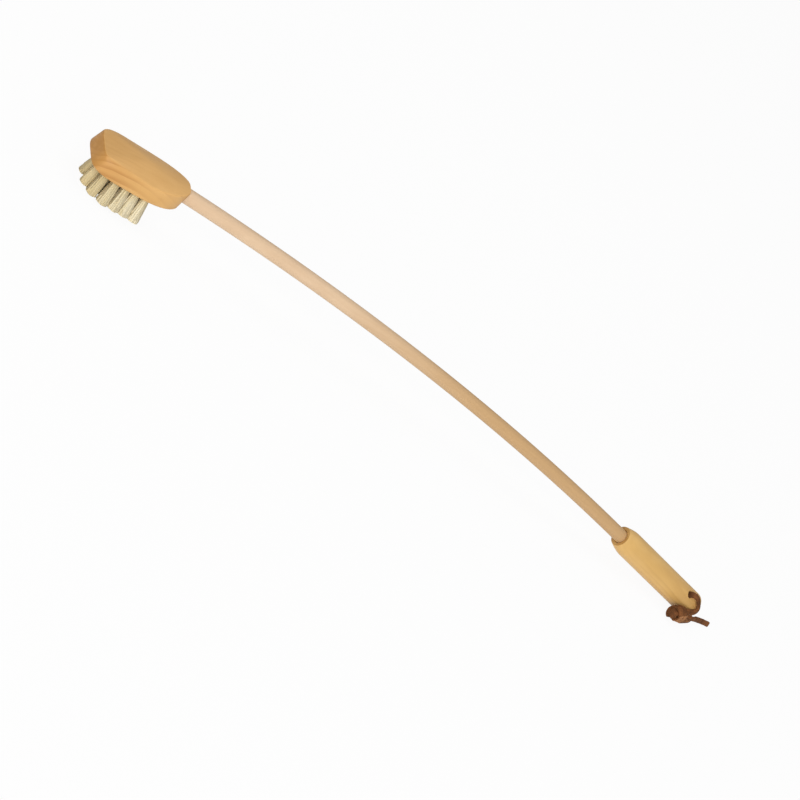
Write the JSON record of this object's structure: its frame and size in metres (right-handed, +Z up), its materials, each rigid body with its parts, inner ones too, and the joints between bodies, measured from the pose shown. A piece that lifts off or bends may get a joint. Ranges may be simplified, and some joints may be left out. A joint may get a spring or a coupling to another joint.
{
  "type": "back brush",
  "caption": "Long-handled wooden back brush: oblong crowned head with splayed bristle tufts, gently bent round rod, turned grip and a knotted leather thong",
  "frame": {"origin": "on the surface that the brush rests on, below the middle of its length, measured without the thong", "axes": "+X runs from the head to the tail of the grip, +Z is up with the bristles down, and the brush is symmetric across Y apart from the thong's hole and the thong"},
  "size_m": [0.7706, 0.0504, 0.0505],
  "materials": {
    "head_wood": "satin",
    "bristle": "matte",
    "rod_wood": "satin",
    "grip_wood": "lacquered",
    "staple_wire": "drawn wire",
    "thong_leather": "smooth on one side, suede on the other"
  },
  "bodies": {
    "root": {"head_block": "head_wood", "bristle_field": "bristle", "rod": "rod_wood", "staple_01": "staple_wire", "staple_02": "staple_wire", "staple_03": "staple_wire", "staple_04": "staple_wire", "staple_05": "staple_wire", "staple_06": "staple_wire", "staple_07": "staple_wire", "staple_08": "staple_wire", "staple_09": "staple_wire", "staple_10": "staple_wire", "staple_11": "staple_wire", "staple_12": "staple_wire", "staple_13": "staple_wire", "staple_14": "staple_wire", "staple_15": "staple_wire", "staple_16": "staple_wire", "staple_17": "staple_wire", "staple_18": "staple_wire", "staple_19": "staple_wire", "staple_20": "staple_wire", "staple_21": "staple_wire", "staple_22": "staple_wire", "staple_23": "staple_wire", "staple_24": "staple_wire", "staple_25": "staple_wire", "grip": "grip_wood", "thong_through": "thong_leather", "thong_long": "thong_leather", "thong_short": "thong_leather"}
  },
  "joints": []
}
